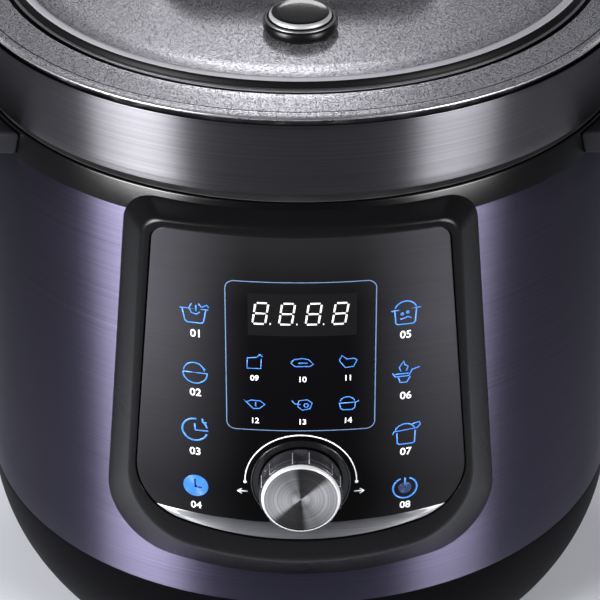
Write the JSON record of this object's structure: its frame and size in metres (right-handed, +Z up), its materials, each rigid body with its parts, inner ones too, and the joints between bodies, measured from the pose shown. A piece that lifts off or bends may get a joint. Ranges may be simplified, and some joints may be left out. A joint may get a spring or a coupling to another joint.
{
  "type": "electric pressure cooker",
  "caption": "Round electric pressure cooker with a twist-lock lid, a lift-out pot and a curved front panel with a rotary knob.",
  "frame": {"origin": "on the floor under the body's axis, at the centre of the bottom of the bounding box", "axes": "+Z up, the control panel faces -Y, +X to the right of someone facing the panel"},
  "size_m": [0.34, 0.3398, 0.3322],
  "materials": {
    "base_plastic": "fine matt",
    "foot_rubber": "matt",
    "screw_steel": "bright",
    "sleeve_steel": "brushed, tinted",
    "neck_plastic": "satin",
    "handle_plastic": "satin",
    "panel_plastic": "satin",
    "lens_black": "high gloss",
    "bright_steel": "brushed",
    "circuit": "satin",
    "display_plastic": "matt",
    "cable_pvc": "matt",
    "pot_aluminium": "satin",
    "cast_plate": "cast, turned",
    "inner_pot_steel": "brushed inside",
    "silicone": "translucent matt",
    "lid_plastic": "satin",
    "band_steel": "brushed, tinted",
    "lid_metallic": "metallic flake",
    "bead_metal": "polished",
    "gloss_black": "gloss",
    "knob_clear": "clear",
    "valve_brass": "turned",
    "float_red": "satin",
    "cup_clear": "clear",
    "spring_steel": "bright"
  },
  "bodies": {
    "housing": {"base_shell": "base_plastic", "base_plate": "base_plastic", "base_screws": "screw_steel", "foot_front": "foot_rubber", "foot_rear": "foot_rubber", "outer_sleeve": "sleeve_steel", "neck_ring": "neck_plastic", "handle_left": "handle_plastic", "handle_right": "handle_plastic", "panel_frame": "panel_plastic", "panel_lens": "lens_black", "trim_strip": "bright_steel", "display_module": "display_plastic", "control_board": "circuit", "rotary_encoder": "screw_steel", "panel_screws": "screw_steel", "board_cable": "cable_pvc", "outer_pot": "pot_aluminium", "heating_plate": "cast_plate", "heating_element": "screw_steel", "probe_bracket": "screw_steel", "probe_spring": "spring_steel", "pressure_switch": "display_plastic", "thermal_fuse": "cable_pvc", "power_board": "circuit", "power_inlet": "gloss_black", "cup_hanger": "handle_plastic"},
    "probe": {"thermal_probe": "screw_steel"},
    "knob": {"knob_skirt": "knob_clear", "knob_cap": "bright_steel", "knob_shaft": "screw_steel"},
    "cooking_pot": {"inner_pot": "inner_pot_steel"},
    "gasket": {"sealing_ring": "silicone"},
    "lid": {"inner_lid": "pot_aluminium", "lid_shell": "lid_plastic", "lid_band": "band_steel", "lid_top_ring": "lid_metallic", "lid_bead": "bead_metal", "lid_top_plate": "lid_metallic", "lid_handle": "handle_plastic", "handle_screws": "screw_steel", "button_housing": "gloss_black", "button_bezel": "bead_metal", "valve_pipe": "valve_brass", "anti_block_cap": "screw_steel", "rocker_pin": "screw_steel", "button_spring": "spring_steel"},
    "button": {"release_button": "gloss_black"},
    "rocker": {"release_rocker": "screw_steel"},
    "weight": {"valve_weight": "handle_plastic"},
    "float": {"float_valve": "float_red"},
    "cup": {"condensate_cup": "cup_clear"}
  },
  "joints": [
    {"name": "lid_lift", "type": "slide", "parent": "housing", "child": "gasket", "axis": [0, 0, 1], "range_m": [0, 0.4]},
    {"name": "lid_twist", "type": "hinge", "parent": "gasket", "child": "lid", "pos_m": [0, 0, 0.25], "axis": [0, 0, 1], "range_deg": [0, 30]},
    {"name": "pot_lift", "type": "slide", "parent": "housing", "child": "cooking_pot", "axis": [0, 0, 1], "range_m": [0, 0.2]},
    {"name": "button_press", "type": "slide", "parent": "lid", "child": "button", "axis": [0, 0, -1], "range_m": [0, 0.003], "stiffness_N_per_m": 900, "springref_m": -0.002, "deforming": ["button_spring"]},
    {"name": "rocker_tilt", "type": "hinge", "parent": "lid", "child": "rocker", "pos_m": [0, -0.012, 0.2848], "axis": [1, 0, 0], "range_deg": [0, 2.1]},
    {"name": "weight_rise", "type": "slide", "parent": "lid", "child": "weight", "axis": [0, 0, 1], "range_m": [0, 0.0032]},
    {"name": "float_rise", "type": "slide", "parent": "lid", "child": "float", "axis": [0, 0, 1], "range_m": [0, 0.004]},
    {"name": "probe_press", "type": "slide", "parent": "housing", "child": "probe", "axis": [0, 0, -1], "range_m": [0, 0.0025], "stiffness_N_per_m": 1200, "springref_m": -0.0015, "deforming": ["probe_spring"]},
    {"name": "knob_turn", "type": "hinge", "parent": "housing", "child": "knob", "pos_m": [0, -0.15643, 0.12996], "axis": [0, -0.9986, 0.0523], "continuous": true},
    {"name": "cup_slide", "type": "slide", "parent": "housing", "child": "cup", "axis": [0, 1, 0], "range_m": [0, 0.045]}
  ],
  "couplings": [
    {"joint": "pot_lift", "follows": "lid_lift", "ratio": 0.5},
    {"joint": "rocker_tilt", "follows": "button_press", "rad_per_m": 12.048},
    {"joint": "weight_rise", "follows": "button_press", "ratio": 1.012}
  ]
}
